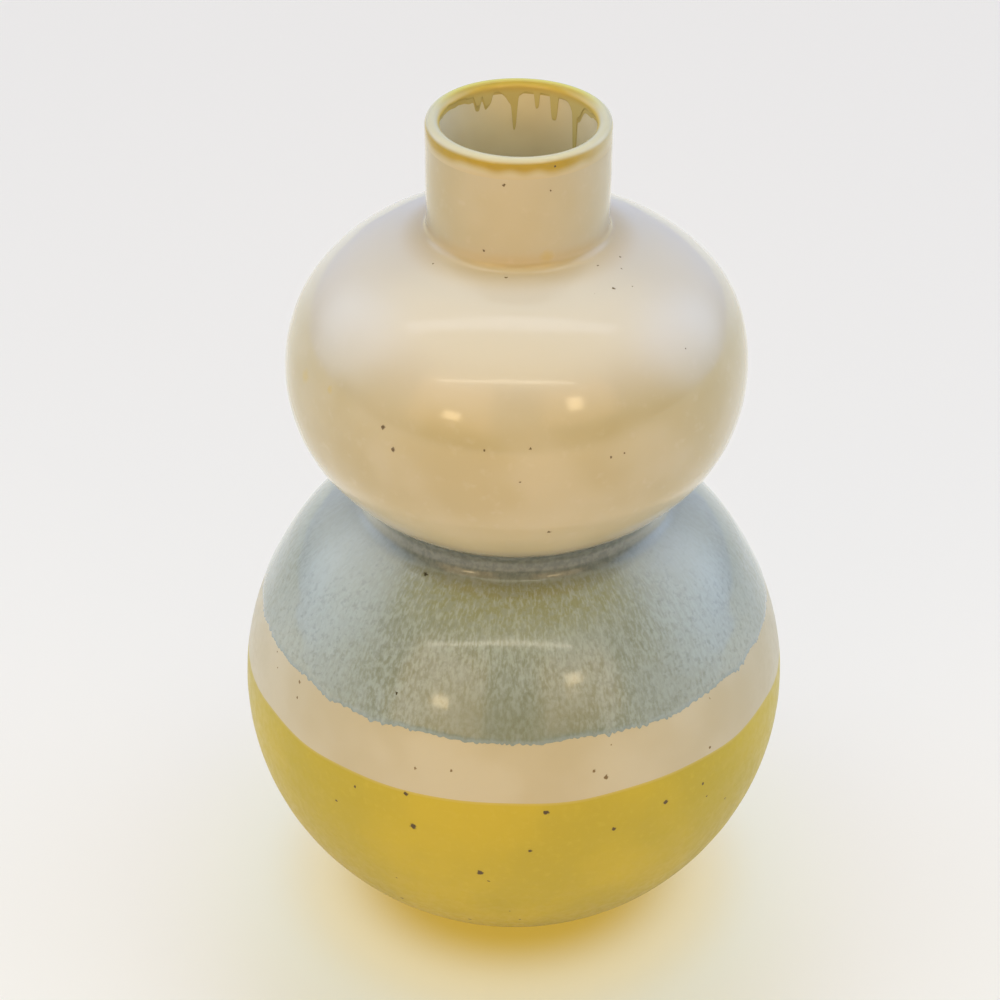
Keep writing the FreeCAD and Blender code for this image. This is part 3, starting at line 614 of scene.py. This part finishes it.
# Painted light: the bulb's lower part, above the waist, is painted lighter against the shade under it.
painted_light_under_bulb = add(tree, "MapRange", {0: height, 1: 0.120, 2: 0.134, 3: 0.45, 4: 0.0}, **SMOOTH)
base = add(tree, "Mix", {0: painted_light_under_bulb, 6: base, 7: "#C9C3AA"}, **COLOUR)
into_foot = add(tree, "MapRange", {0: height, 1: 0.1720, 2: 0.1745, 3: 0.0, 4: 0.2}, **SMOOTH)
out_of_foot = add(tree, "MapRange", {0: height, 1: 0.1762, 2: 0.1790, 3: 1.0, 4: 0.0}, **SMOOTH)
pool = add(tree, "Math", {0: into_foot, 1: out_of_foot}, operation="MULTIPLY")
base = add(tree, "Mix", {0: pool, 6: base, 7: "#C4A15A"}, **COLOUR)
flecks = iron_specks(
    tree, place, [(-64.2, 149.0, 1.3), (18.2, 177.1, 1.3), (-52.5, 150.6, 0.7), (155.0, 160.0, 1.2)],
    cell=11.0, share=0.05, rim=0.7,
)
flecks = add(tree, "Math", {0: flecks, 1: 0.35}, operation="MULTIPLY")
base = add(tree, "Mix", {0: flecks, 6: base, 7: "#BFA84F"}, **COLOUR)
specks = iron_specks(
    tree, place,
    [
        (-33.4, 148.6, 0.48), (-30.0, 144.4, 0.44), (22.8, 144.9, 0.28), (8.5, 126.5, 0.40),
        (42.8, 171.3, 0.40), (46.8, 173.6, 0.24), (62.8, 173.2, 0.24), (55.8, 172.5, 0.20),
        (50.9, 170.7, 0.20), (-8.4, 194.3, 0.32), (20.0, 192.6, 0.24), (-20.7, 178.5, 0.24),
        (-6.1, 173.9, 0.28), (-7.2, 148.2, 0.28), (3.4, 148.7, 0.24), (1.1, 141.3, 0.20),
        (26.2, 145.1, 0.20), (128.0, 150.0, 0.40), (-151.0, 141.0, 0.40), (95.0, 133.0, 0.32),
    ],
    cell=6.0, share=0.05,
)
base = add(tree, "Mix", {0: specks, 6: base, 7: "#5B4A2C"}, **COLOUR)
skin = add(tree, "TexNoise", {"Vector": place, "Scale": 1 / (7.0 * MM), "Detail": 1.5})
gloss = add(tree, "MapRange", {0: skin, 1: 0.3, 2: 0.7, 3: 0.12, 4: 0.18}, **SMOOTH)
relief = add(tree, "Bump", {"Height": skin, "Distance": 0.05 * MM, "Strength": 1.0})
look = {
    "Base Color": base, "Roughness": gloss, "Normal": relief, "IOR": 1.5,
    "Coat Weight": 0.3, "Coat Roughness": 0.05, "Coat IOR": 1.5,
}
add(tree, "OutputMaterial", {"Surface": add(tree, "BsdfPrincipled", look)})
dress(cream_coat, cream_glaze, "cream_glaze")

# Liner glaze over the whole inside.
# A pale coat that was poured in and out. It shows through the mouth, where its top edge lies under the
# amber.

INSIDE_WALL, LINER = 4.5, 0.5
LINER_TOP = 1.7


def inner_path(depth, top, floor):
    """The inside from the axis at the floor up to under the lip, a depth under the outside.

    Both bulbs keep one wall, so their inside is the outside moved in along its normals. It is cut off
    by the flat floor below and by the bore of the neck above.
    """
    outer = OUTSIDE[(RUN < run_at(RIM_HEIGHT - 30)) & (RUN > run_at(YELLOW_FOOT))]
    moved = outer[:, :2] - depth * outer[:, 2:]
    bore = NECK_RADIUS - NECK_WALL + (INSIDE_WALL + LINER - depth)
    kept = moved[(moved[:, 1] > floor) & (moved[:, 0] > bore)]
    floor_radii = np.linspace(0, kept[0, 0], 30, endpoint=False)[1:]
    bottom = np.stack([floor_radii, floor_radii * 0 + floor], axis=1)
    neck = np.linspace(kept[-1, 1], top, 40)[1:]
    return np.vstack([bottom, kept[::5], kept[-1:], np.stack([neck * 0 + bore, neck], axis=1)])


def turned_liner(name, clay_side, face_side, count):
    """Closed shell turned from a section that starts and ends on the axis: out along the clay, and back."""
    section = np.vstack([clay_side, face_side[::-1]])
    angles = np.arange(count) * 2 * math.pi / count
    radius, height = section[:, 0, None], section[:, 1, None]
    grid = np.stack(
        [radius * np.sin(angles), -radius * np.cos(angles), height + 0 * angles], axis=-1
    )
    rows = len(section)
    numbers = np.arange(rows * count).reshape(rows, count)
    below, above = numbers[:-1], numbers[1:]
    quads = np.stack([below, np.roll(below, -1, axis=1), np.roll(above, -1, axis=1), above], axis=-1)
    poles = np.array([[0, 0, section[0, 1]], [0, 0, section[-1, 1]]])
    first, last = rows * count, rows * count + 1
    low_fan = np.stack([numbers[0] * 0 + first, np.roll(numbers[0], -1), numbers[0]], axis=1)
    high_fan = np.stack([numbers[-1] * 0 + last, numbers[-1], np.roll(numbers[-1], -1)], axis=1)
    points = np.vstack([grid.reshape(-1, 3), poles])
    mesh = bpy.data.meshes.new(name)
    faces = quads.reshape(-1, 4).tolist() + low_fan.tolist() + high_fan.tolist()
    mesh.from_pydata((points * MM).tolist(), [], faces)
    mesh.shade_smooth()
    mesh.set_sharp_from_angle(angle=SHARP_ANGLE)
    made = bpy.data.objects.new(name, mesh)
    bpy.context.scene.collection.objects.link(made)
    return made


FLOOR_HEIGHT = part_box("inner_glaze")[0].z / MM
liner_coat = turned_liner(
    "liner_coat",
    inner_path(INSIDE_WALL, RIM_HEIGHT - LINER_TOP, FLOOR_HEIGHT),
    inner_path(INSIDE_WALL + LINER, RIM_HEIGHT - LINER_TOP, FLOOR_HEIGHT + LINER),
    384,
)
# Pale transparent liner glaze, poured and fired: glossy, grey-cream, with the clay's warmth under it.
liner_glaze, tree, place = new_material("stoneware_glaze_gloss_liner")
clouds = add(tree, "TexNoise", {"Vector": place, "Scale": 1 / (14 * MM)})
clouds = add(tree, "MapRange", {0: clouds, 1: 0.35, 2: 0.65, 3: 0.0, 4: 1.0}, **SMOOTH)
base = add(tree, "Mix", {0: clouds, 6: "#E1DDC8", 7: "#DBD5BE"}, **COLOUR)
specks = iron_specks(tree, place, [(176.0, 182.0, 0.3)], cell=6.0, share=0.05)
base = add(tree, "Mix", {0: specks, 6: base, 7: "#6A5A38"}, **COLOUR)
skin = add(tree, "TexNoise", {"Vector": place, "Scale": 1 / (6.0 * MM), "Detail": 1.5})
gloss = add(tree, "MapRange", {0: skin, 1: 0.3, 2: 0.7, 3: 0.12, 4: 0.18}, **SMOOTH)
relief = add(tree, "Bump", {"Height": skin, "Distance": 0.04 * MM, "Strength": 1.0})
look = {"Base Color": base, "Roughness": gloss, "Normal": relief, "IOR": 1.55}
add(tree, "OutputMaterial", {"Surface": add(tree, "BsdfPrincipled", look)})
dress(liner_coat, liner_glaze, "inner_glaze")

# Amber glaze over the lip.
# A runny coat brushed round the rim last of all. It broke thin and pale on the lip, gathered in a
# honey band below it outside, and ran down inside in drips.

RIM_COUNT = 1024
RIM_ANGLES = np.arange(RIM_COUNT) * 2 * math.pi / RIM_COUNT
RIM_DEGREES = (np.degrees(RIM_ANGLES) + 180) % 360 - 180


def around(centre, width, power=2.0):
    """A hump of 1 round an angle in degrees: exp(-(distance / width) ^ power), the short way."""
    apart = np.abs((RIM_DEGREES - centre + 180) % 360 - 180)
    return np.exp(-((apart / width) ** power))


# Drips inside: angle, half width in degrees, length in mm, and how square their end is.
DRIPS = [
    (-156.5, 3.6, 3.0, 4.0), (-148.0, 2.8, 2.2, 4.0), (-177.0, 2.0, 7.2, 3.0), (-174.5, 5.0, 2.6, 2.0),
    (166.5, 1.9, 3.6, 4.0), (153.0, 3.0, 5.8, 5.0), (134.0, 2.0, 11.0, 4.0), (132.0, 6.5, 3.2, 2.5),
    (60.0, 3.0, 2.5, 3.0), (20.0, 2.5, 4.0, 3.0), (-25.0, 3.5, 3.0, 3.0), (-70.0, 2.5, 2.0, 3.0),
]
INSIDE_DROP, BACK_DROP, INSIDE_WANDER = 2.6, 1.0, 0.25
inner_run = RIM_RUN + INSIDE_DROP + BACK_DROP * around(165, 60, 6.0)
inner_run = inner_run + INSIDE_WANDER * waves(RIM_ANGLES, 5, 60, seed=21)
for centre, width, length, power in DRIPS:
    inner_run = inner_run + length * around(centre, width, power)


UNDER_START, UNDER_LENGTH = 2.0, 0.5
DRIP_DEPTH, DRIP_FOOT, DRIP_EDGE = 0.22, 0.15, 0.5
PROUD_START, PROUD_LENGTH = 1.2, 1.2


def rim_under(run):
    """The amber lies on the clay outside and over the lip, and on the liner's face inside."""
    return COAT * (1 - smooth_step((run - RIM_RUN - UNDER_START) / UNDER_LENGTH))


def rim_over(run, from_low, from_high):
    """Inside, the amber stands proud of the liner behind an edge rounded as a quarter circle."""
    inside = smooth_step((run - RIM_RUN - PROUD_START) / PROUD_LENGTH)
    rise = np.sqrt(np.clip(1 - (1 - np.clip(from_high / DRIP_EDGE, 0, 1)) ** 2, 0, 1))
    return -DRIP_DEPTH * inside * (DRIP_FOOT + (1 - DRIP_FOOT) * rise)


def rim_marks(run, angles):
    """How far the amber shows, 0 to 1: a band under the lip, weaker on the right, the mouth, and the back."""
    degrees = (np.degrees(angles) + 180) % 360 - 180
    back = smooth_step((np.abs(degrees) - 95) / 45)
    side = 1 - 0.65 * smooth_step((degrees - 25) / 50) * (1 - back)
    start = amber_run + 0.4 + 0.5 * waves(angles, 3, 24, seed=22)
    band = smooth_step((run - start) / 2.2) * (1 - smooth_step((run - RIM_RUN + 2.2) / 1.0)) * side
    lip = 0.8 * back * smooth_step((run - RIM_RUN) / 1.2)
    inside = smooth_step((run - RIM_RUN - 0.9) / 1.2)
    return {"amber": np.maximum(band, lip), "inside": inside, "back": back + 0 * run}


amber_coat = glaze_coat(
    "amber_rim_coat", amber_run, inner_run, RIM_COUNT, rows=64, held=RIM_RUN + INSIDE_DROP,
    under=rim_under, over=rim_over, marks=rim_marks,
)
# Honey-coloured iron glaze, brushed and fired: very glossy, deep where it is thick, and pale where it
# broke on the lip.
amber_glaze, tree, place = new_material("stoneware_glaze_gloss_amber")
marked = {
    name: add(tree, "Attribute", out="Fac", attribute_name=name) for name in ("amber", "inside", "back")
}
from_low = add(tree, "Attribute", out="Fac", attribute_name="from_low")
thinning = add(tree, "MapRange", {0: from_low, 1: 0.0, 2: 3.0, 3: 0.0, 4: 1.0}, **SMOOTH)
pale = add(tree, "Mix", {0: thinning, 6: "#BBB08F", 7: "#C3C2AC"}, **COLOUR)
pale = add(tree, "Mix", {0: marked["back"], 6: pale, 7: "#C8C66E"}, **COLOUR)
clouds = add(tree, "TexNoise", {"Vector": place, "Scale": 1 / (3.0 * MM)})
honey = add(tree, "Mix", {0: clouds, 6: "#AE9419", 7: "#9D8512"}, **COLOUR)
base = add(tree, "Mix", {0: marked["amber"], 6: pale, 7: honey}, **COLOUR)
run_down = add(tree, "Attribute", out="Fac", attribute_name="run")
down_inside = add(
    tree, "MapRange", {0: run_down, 1: RIM_RUN + 1.5, 2: RIM_RUN + 4.0, 3: 0.0, 4: 1.0}, **SMOOTH
)
thin_glaze_and_painted_shade = add(tree, "Mix", {0: down_inside, 6: "#C6AE52", 7: "#C7BE85"}, **COLOUR)
base = add(tree, "Mix", {0: marked["inside"], 6: base, 7: thin_glaze_and_painted_shade}, **COLOUR)
specks = iron_specks(tree, place, [(22.3, 198.0, 0.2)], cell=8.0, share=0.03)
base = add(tree, "Mix", {0: specks, 6: base, 7: "#3A2A12"}, **COLOUR)
skin = add(tree, "TexNoise", {"Vector": place, "Scale": 1 / (3.0 * MM), "Detail": 1.5})
gloss = add(tree, "MapRange", {0: skin, 1: 0.3, 2: 0.7, 3: 0.05, 4: 0.1}, **SMOOTH)
relief = add(tree, "Bump", {"Height": skin, "Distance": 0.04 * MM, "Strength": 1.0})
look = {"Base Color": base, "Roughness": gloss, "Normal": relief, "IOR": 1.54}
add(tree, "OutputMaterial", {"Surface": add(tree, "BsdfPrincipled", look)})
dress(amber_coat, amber_glaze, "amber_rim_glaze")

# Floor.
# A sheet of white satin acrylic under the vase, large enough to fill the view on every side. It gives
# a blurred image of the yellow base, and round the foot it carries a painted glow in the base's yellow.

FLOOR_SIDE = 6.0
floor_mesh = bpy.data.meshes.new("floor")
half = FLOOR_SIDE / 2
corners = [(-half, -half, 0), (half, -half, 0), (half, half, 0), (-half, half, 0)]
floor_mesh.from_pydata(corners, [], [(0, 1, 2, 3)])
floor = bpy.data.objects.new("floor", floor_mesh)
bpy.context.scene.collection.objects.link(floor)
acrylic, tree, place = new_material("acrylic_sheet_satin_white")
SATIN_SHARE, SATIN_ROUGHNESS = 0.95, 0.6
# The painted glow's share by the foot, and how far its middle is moved towards the front, in m.
PAINTED_GLOW_SHARE, PAINTED_GLOW_SHIFT = 0.78, 0.009
dull = add(tree, "BsdfDiffuse", {"Color": "#EFEDEC"})
sheen = add(tree, "BsdfGlossy", {"Color": "#F6F3EF", "Roughness": SATIN_ROUGHNESS})
# Seen straight it is a satin mirror, and it lights the vase as a white sheet. By the foot the camera also
# sees a painted glow in the yellow of the base, stronger towards the front: an emission that stands in for
# the base's reflection and the yellow light it throws on the sheet.
seen = add(tree, "LightPath", out="Is Camera Ray")
share = add(tree, "MapRange", {0: seen, 1: 0.0, 2: 1.0, 3: 0.0, 4: SATIN_SHARE}, **SMOOTH)
sheet = add(tree, "MixShader", {0: share, 1: dull, 2: sheen})
drawn = add(tree, "VectorMath", {0: place, 1: (1, 1, 0), 2: (0, PAINTED_GLOW_SHIFT, 0)}, operation="MULTIPLY_ADD")
away = add(tree, "VectorMath", {0: drawn}, out="Value", operation="LENGTH")
outwards = add(tree, "MapRange", {0: away, 1: 0.028, 2: 0.050, 3: 0.0, 4: 1.0}, **SMOOTH)
painted_glow_colour = add(tree, "Mix", {0: outwards, 6: "#D1AD3F", 7: "#F6E7BC"}, **COLOUR)
outwards = add(tree, "MapRange", {0: away, 1: 0.046, 2: 0.066, 3: 0.0, 4: 1.0}, **SMOOTH)
painted_glow_colour = add(tree, "Mix", {0: outwards, 6: painted_glow_colour, 7: "#F8F8E4"}, **COLOUR)
# The painted glow: an emission in the yellow of the base round the foot, which only the camera sees.
painted_glow_share = add(tree, "MapRange", {0: away, 1: 0.030, 2: 0.100, 3: PAINTED_GLOW_SHARE, 4: 0.0}, **SMOOTH)
painted_glow_share = add(tree, "Math", {0: painted_glow_share, 1: seen}, operation="MULTIPLY")
painted_glow = add(tree, "Emission", {"Color": painted_glow_colour, "Strength": 1.0})
sheet = add(tree, "MixShader", {0: painted_glow_share, 1: sheet, 2: painted_glow})
add(tree, "OutputMaterial", {"Surface": sheet})
floor_mesh.materials.append(acrylic)

# Studio light.
# A long softbox hangs overhead, two small warm lamps and a long strip stand before the vase, and larger
# soft lamps round them light it without being mirrored.


def toward(azimuth, elevation, distance, aim=0.12):
    """A place at an azimuth from the camera's side, an elevation, and a distance in m from the middle."""
    a, e = math.radians(azimuth), math.radians(elevation)
    way = np.array([math.sin(a) * math.cos(e), -math.cos(a) * math.cos(e), math.sin(e)])
    return way * distance + (0, 0, aim)


def lamp(name, where, wide, high, radiance, colour, aim=(0, 0, 0.12)):
    """A rectangular lamp that faces a place, sizes in m. Its power is pi * area * radiance."""
    data = bpy.data.lights.new(name, "AREA")
    data.shape = "RECTANGLE"
    data.size, data.size_y = wide, high
    data.energy = math.pi * wide * high * radiance
    data.color = linear(colour)[:3]
    made = bpy.data.objects.new(name, data)
    made.location = where
    back = np.array(where) - aim
    back = back / np.linalg.norm(back)
    side = np.cross((0, 1, 0) if abs(back[2]) > 0.95 else (0, 0, 1), back)
    side = side / np.linalg.norm(side)
    up = np.cross(back, side)
    made.rotation_euler = Matrix(np.stack([side, up, back], axis=1).tolist()).to_euler()
    made.visible_camera = False
    bpy.context.scene.collection.objects.link(made)
    return made


lamp("overhead_softbox", (-0.1, 0.05, 1.3), 1.66, 0.19, 1.45, "#E4EAFF", aim=(-0.1, 0.05, 0))
lamp("left_lamp_middle", toward(-31, 18.5, 1.25), 0.16, 0.16, 6.0, "#FFE2B0")
lamp("right_lamp_middle", toward(28, 28.5, 1.25), 0.14, 0.14, 6.0, "#FFE2B0")
lamp("front_strip", (-0.16, -0.795, 1.02), 1.34, 0.035, 5.5, "#FFF3E0", aim=(-0.16, 0, 0.12))
# These four only light the glaze, and it doesn't mirror them.
for name, where, wide, high, radiance, colour in (
    ("low_front_fill", toward(0, 9, 1.2), 1.4, 0.5, 1.02, "#FFBC6C"),
    ("left_key", toward(-33, 23, 1.3), 0.8, 0.75, 1.0, "#FFC364"),
    ("right_key", toward(29, 27, 1.3), 0.72, 0.65, 0.82, "#FFC46C"),
    ("overhead_key", np.array((0, 0.12, 1.3)), 1.5, 0.44, 0.42, "#D7E3FF"),
):
    lamp(name, where, wide, high, radiance, colour).visible_glossy = False

# The room: a white wall behind, a pale ceiling, a white cloth on each side, and two warm lit cloths in
# front. Each has its colour and its radiance.
SKY = {
    "all_round": ("#F3FFE9", 0.209),
    "wall_behind": ("#D2D0FF", 0.6),
    "ceiling": ("#FFFAC4", 0.879),
    "left_side": ("#AED6FF", 1.48),
    "right_side": ("#A3CDFF", 1.72),
    "left_cloth": ("#FFC97E", 1.2),
    "right_cloth": ("#FFCB86", 1.1),
}
world = bpy.data.worlds.new("white_studio")
world.use_nodes = True
tree = world.node_tree
tree.nodes.clear()
heading = add(tree, "TexCoord", out="Generated")
ways = add(tree, "SeparateXYZ", {"Vector": heading}).node.outputs
across = add(tree, "Math", {0: ways["X"], 1: ways["Y"]}, operation="DIVIDE")


def side_cloth(side, radiance):
    """A round soft patch of light on one side, a little behind the vase."""
    middle = toward(side * 104, 24, 1.0, aim=0).tolist()
    apart = add(tree, "VectorMath", {0: heading, 1: middle}, out="Value", operation="DISTANCE")
    return add(tree, "MapRange", {0: apart, 1: 0.2, 2: 0.65, 3: radiance, 4: 0.0}, **SMOOTH)


def front_cloth(outer, inner, low, radiance):
    """A lit cloth in front, between the tangents of two azimuths and from a sine of elevation to 0.68.

    It is the product of five soft edges: two sides, the bottom, the top, and the front half of the room.
    """
    edge = math.copysign(0.12, inner)
    product = None
    for value, start, end, first, last in (
        (across, inner, inner + edge, 0.0, 1.0),
        (across, outer, outer + 3 * edge, 1.0, 0.0),
        (ways["Z"], low - 0.08, low + 0.08, 0.0, 1.0),
        (ways["Z"], 0.58, 0.78, 1.0, 0.0),
        (ways["Y"], -0.3, -0.15, radiance, 0.0),
    ):
        part = add(tree, "MapRange", {0: value, 1: start, 2: end, 3: first, 4: last}, **SMOOTH)
        product = add(tree, "Math", {0: product, 1: part}, operation="MULTIPLY") if product else part
    return product


behind, overhead = SKY["wall_behind"][1], SKY["ceiling"][1]
shapes = {
    "all_round": SKY["all_round"][1],
    "wall_behind": add(tree, "MapRange", {0: ways["Y"], 1: -0.35, 2: 0.5, 3: 0.0, 4: behind}, **SMOOTH),
    "ceiling": add(tree, "MapRange", {0: ways["Z"], 1: 0.55, 2: 0.9, 3: 0.0, 4: overhead}, **SMOOTH),
    "left_side": side_cloth(-1, SKY["left_side"][1]),
    "right_side": side_cloth(1, SKY["right_side"][1]),
    "left_cloth": front_cloth(1.15, 0.17, 0.09, SKY["left_cloth"][1]),
    "right_cloth": front_cloth(-0.95, -0.15, 0.22, SKY["right_cloth"][1]),
}
lit = None
for name, strength in shapes.items():
    light = add(tree, "Background", {"Color": SKY[name][0], "Strength": strength})
    lit = add(tree, "AddShader", {0: lit, 1: light}) if lit else light
# The camera sees a plain pale wall instead.
shown = add(tree, "Background", {"Color": "#F0EEEC", "Strength": 1.0})
seen = add(tree, "LightPath", out="Is Camera Ray")
add(tree, "OutputWorld", {"Surface": add(tree, "MixShader", {0: seen, 1: lit, 2: shown})})
bpy.context.scene.world = world
bpy.context.scene.view_settings.view_transform = "Standard"

# Camera.
# It looks down on the vase from in front, as the photograph does, and is turned a little on its own
# line of sight.

LENS, SENSOR = 91.35, 36.0
PITCH, ROLL, DISTANCE, AIM_HEIGHT = 0.5792, 0.0091, 0.59709, 0.10266
camera_data = bpy.data.cameras.new("camera")
camera_data.lens, camera_data.sensor_width = LENS, SENSOR
camera_data.shift_x = -0.01522
camera = bpy.data.objects.new("camera", camera_data)
camera.location = (0, -DISTANCE * math.cos(PITCH), AIM_HEIGHT + DISTANCE * math.sin(PITCH))
look = Matrix.Rotation(math.pi / 2 - PITCH, 4, "X") @ Matrix.Rotation(ROLL, 4, "Z")
camera.rotation_euler = look.to_euler()
bpy.context.scene.collection.objects.link(camera)
bpy.context.scene.camera = camera
